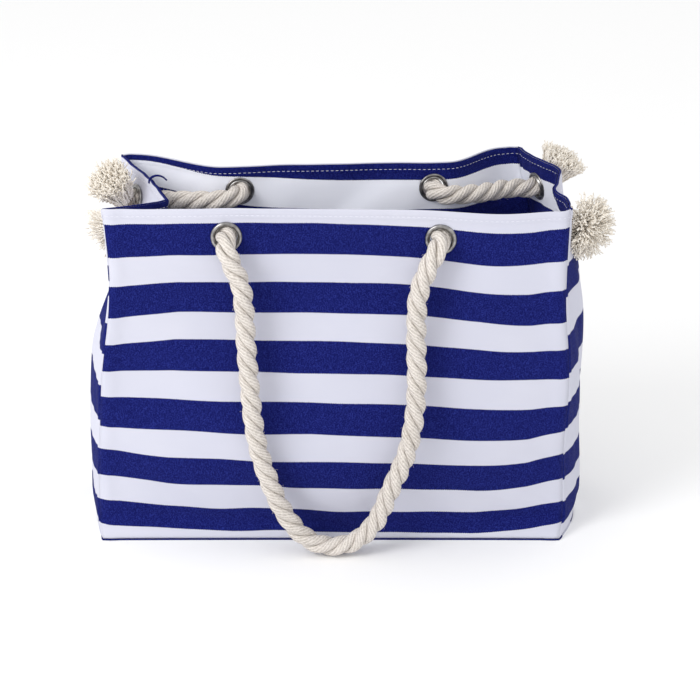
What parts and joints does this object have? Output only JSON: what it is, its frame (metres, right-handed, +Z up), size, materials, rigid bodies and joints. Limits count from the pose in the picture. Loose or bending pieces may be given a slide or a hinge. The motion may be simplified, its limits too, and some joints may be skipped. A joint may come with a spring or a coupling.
{
  "type": "beach bag",
  "caption": "Open striped canvas tote with side gussets, a lining, metal eyelets and two twisted rope handles with knotted, frayed ends.",
  "frame": {"origin": "middle of the base, on the surface that the bag stands on", "axes": "+Z up, +X to the bag's right as seen from the front, and the front faces -Y"},
  "size_m": [0.5606, 0.2634, 0.3901],
  "materials": {
    "canvas": "heavy cotton canvas in even navy and white stripes",
    "lining": "lighter cotton cloth with the stripes the other way round",
    "rope": "natural three-strand twisted cotton rope",
    "tassel": "loose frayed cotton yarn",
    "eyelet_metal": "dull nickel-plated steel"
  },
  "bodies": {
    "bag": {"canvas_front": "canvas", "lining_front": "lining", "canvas_right": "canvas", "lining_right": "lining", "canvas_back": "canvas", "lining_back": "lining", "canvas_left": "canvas", "lining_left": "lining", "canvas_base": "canvas", "lining_base": "lining", "eyelet_front_left": "eyelet_metal", "washer_front_left": "eyelet_metal", "eyelet_front_right": "eyelet_metal", "washer_front_right": "eyelet_metal", "eyelet_side_right_front": "eyelet_metal", "washer_side_right_front": "eyelet_metal", "eyelet_side_right_back": "eyelet_metal", "washer_side_right_back": "eyelet_metal", "eyelet_back_right": "eyelet_metal", "washer_back_right": "eyelet_metal", "eyelet_back_left": "eyelet_metal", "washer_back_left": "eyelet_metal", "eyelet_side_left_back": "eyelet_metal", "washer_side_left_back": "eyelet_metal", "eyelet_side_left_front": "eyelet_metal", "washer_side_left_front": "eyelet_metal", "rope_run_front_left": "rope", "rope_run_front_right": "rope", "rope_run_back_left": "rope", "rope_run_back_right": "rope", "knot_left_front": "rope", "tassel_left_front": "tassel", "knot_left_back": "rope", "tassel_left_back": "tassel", "knot_right_front": "rope", "tassel_right_front": "tassel", "knot_right_back": "rope", "tassel_right_back": "tassel"},
    "front_handle": {"front_handle": "rope"},
    "back_handle": {"back_handle": "rope"}
  },
  "joints": [
    {"name": "front_handle_swing", "type": "hinge", "parent": "bag", "child": "front_handle", "pos_m": [0, -0.10388, 0.345], "axis": [-1, 0, 0], "range_deg": [0, 180]},
    {"name": "back_handle_swing", "type": "hinge", "parent": "bag", "child": "back_handle", "pos_m": [0, 0.0866, 0.347], "axis": [1, 0, 0], "range_deg": [0, 180]}
  ]
}
